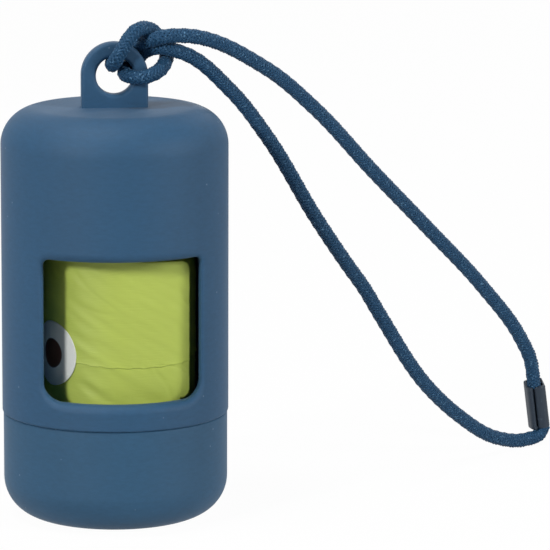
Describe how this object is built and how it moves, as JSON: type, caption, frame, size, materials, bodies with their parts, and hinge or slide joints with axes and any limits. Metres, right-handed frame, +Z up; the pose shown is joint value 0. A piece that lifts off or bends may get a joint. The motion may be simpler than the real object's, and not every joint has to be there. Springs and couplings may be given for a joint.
{
  "type": "bag dispenser",
  "caption": "Round capsule that holds a roll of small bags behind a side window, with a pull-off base cap and a looped wrist cord.",
  "frame": {"origin": "middle of the underside of the base cap", "axes": "+Z up through the capsule to the eyelet, window facing -Y, wrist cord lying away towards +X and +Y"},
  "size_m": [0.1066, 0.0671, 0.0885],
  "materials": {
    "housing_plastic": "fine matte moulded blue",
    "base_plastic": "fine matte moulded blue",
    "film_roll": "soft wound film, yellow-green",
    "film_outer": "creased thin film, yellow-green",
    "core_board": "plain grey-brown board",
    "label_paper": "plain coated paper",
    "cord_braid": "braided navy yarn with pale flecks",
    "ferrule_metal": "dark slate lacquer on pressed metal"
  },
  "bodies": {
    "base": {"base_cap": "base_plastic"},
    "roll": {"bag_roll": "film_roll", "outer_bag": "film_outer", "roll_core": "core_board", "roll_label": "label_paper"},
    "housing": {"housing": "housing_plastic", "wrist_cord": "cord_braid", "cord_ferrule": "ferrule_metal"}
  },
  "joints": [
    {"name": "housing_lift", "type": "slide", "parent": "base", "child": "housing", "axis": [0, 0, 1], "range_m": [0, 0.055]},
    {"name": "roll_spin", "type": "hinge", "parent": "base", "child": "roll", "pos_m": [0, 0, 0.03], "axis": [0, 0, 1], "continuous": true}
  ]
}
